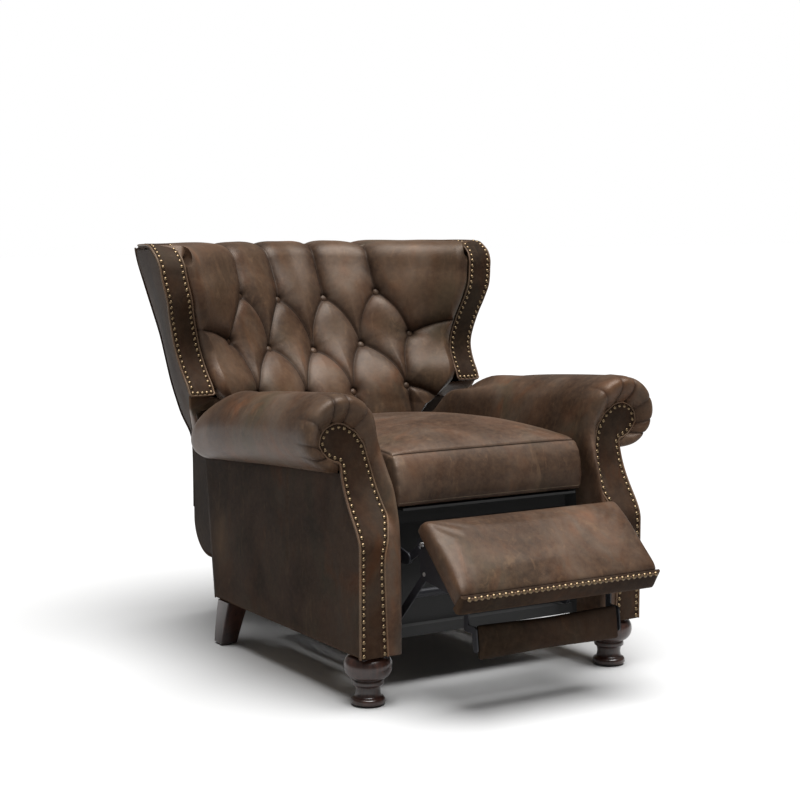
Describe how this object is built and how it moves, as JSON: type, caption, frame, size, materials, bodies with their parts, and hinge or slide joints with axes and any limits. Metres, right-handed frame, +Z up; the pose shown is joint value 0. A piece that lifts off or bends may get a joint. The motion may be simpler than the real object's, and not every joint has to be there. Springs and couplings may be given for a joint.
{
  "type": "wingback recliner",
  "caption": "Wingback recliner with scroll arms, a tufted barrel back, nailed edges, turned front feet and a fold-out footrest.",
  "frame": {"origin": "on the floor, at the middle of the footprint as drawn, with the footrest out and the back half reclined", "axes": "+Z up, the chair faces -Y, +X to the sitter's left; X = 0 is the plane of symmetry"},
  "size_m": [1.0334, 1.3958, 1.036],
  "materials": {
    "leather": "semi-gloss, mottled and worn",
    "foam_leather": "semi-gloss leather over foam",
    "brass": "antique, darkened",
    "dark_wood": "satin dark stain",
    "timber": "raw",
    "black_steel": "satin black",
    "bright_steel": "zinc plated",
    "webbing": "woven jute",
    "lining_cloth": "matt black cloth",
    "glide_plastic": "matt"
  },
  "bodies": {
    "base": {"arm_outer_panel_left": "leather", "arm_outer_panel_right": "leather", "arm_inner_panels": "leather", "arm_frame_left": "timber", "arm_frame_right": "timber", "arm_front_band_left": "leather", "arm_front_band_right": "leather", "arm_facing_left": "leather", "arm_facing_right": "leather", "arm_roll_left": "foam_leather", "arm_roll_right": "foam_leather", "arm_nailheads": "brass", "front_leg_left": "dark_wood", "front_leg_right": "dark_wood", "rear_leg_left": "dark_wood", "rear_leg_right": "dark_wood", "leg_glides": "glide_plastic", "leg_plates": "bright_steel", "base_front_rail": "timber", "base_rear_rail": "timber", "slide_rail_left": "black_steel", "slide_rail_right": "black_steel", "rail_runners": "timber"},
    "seat": {"seat_plate_left": "black_steel", "seat_plate_right": "black_steel", "seat_slide_pins": "bright_steel", "seat_frame": "timber", "seat_webbing": "webbing", "seat_deck": "lining_cloth", "seat_cushion": "foam_leather", "seat_pivot_pins": "bright_steel"},
    "cranks": {"crank_left": "black_steel", "crank_right": "black_steel", "cross_tube": "black_steel", "crank_pins": "bright_steel"},
    "followers": {"follower_links": "black_steel", "follower_pins": "bright_steel"},
    "ottoman": {"ottoman_bracket_left": "black_steel", "ottoman_bracket_right": "black_steel", "ottoman_board": "timber", "ottoman_pad": "foam_leather", "ottoman_front_band": "leather", "ottoman_nailheads": "brass", "kick_ears": "bright_steel"},
    "kick": {"kick_panel": "foam_leather", "kick_arms": "black_steel"},
    "back": {"back_cushion": "foam_leather", "back_buttons": "leather", "wing_facing_left": "leather", "wing_facing_right": "leather", "wing_nailheads": "brass", "wing_posts": "timber", "wing_outer_panel_left": "leather", "wing_outer_panel_right": "leather", "back_frame": "timber", "back_hinge_ears": "black_steel", "outside_back_panel": "leather", "back_top_cover": "leather", "back_lining": "lining_cloth"}
  },
  "joints": [
    {"name": "seat_slide", "type": "slide", "parent": "base", "child": "seat", "axis": [0, -1, 0], "range_m": [-0.031, 0.051]},
    {"name": "back_recline", "type": "hinge", "parent": "seat", "child": "back", "pos_m": [0, 0.33695, 0.49], "axis": [-1, 0, 0], "range_deg": [-12, 20]},
    {"name": "footrest_fold", "type": "hinge", "parent": "seat", "child": "cranks", "pos_m": [0, -0.37005, 0.1715], "axis": [-1, 0, 0], "range_deg": [0, 50.7]},
    {"name": "ottoman_tilt", "type": "hinge", "parent": "cranks", "child": "ottoman", "pos_m": [0, -0.50589, 0.3115], "axis": [1, 0, 0], "range_deg": [0, 98.4]},
    {"name": "follower_swing", "type": "hinge", "parent": "seat", "child": "followers", "pos_m": [0, -0.41305, 0.3315], "axis": [-1, 0, 0], "range_deg": [0, 75.6]},
    {"name": "kick_tilt", "type": "hinge", "parent": "ottoman", "child": "kick", "pos_m": [0, -0.59836, 0.30155], "axis": [-1, 0, 0], "range_deg": [0, 47.7]}
  ],
  "couplings": [
    {"joint": "seat_slide", "follows": "back_recline", "m_per_rad": 0.143},
    {"joint": "ottoman_tilt", "follows": "footrest_fold", "ratio": 1.9385},
    {"joint": "follower_swing", "follows": "footrest_fold", "ratio": 1.4896},
    {"joint": "kick_tilt", "follows": "footrest_fold", "ratio": 0.9385}
  ]
}
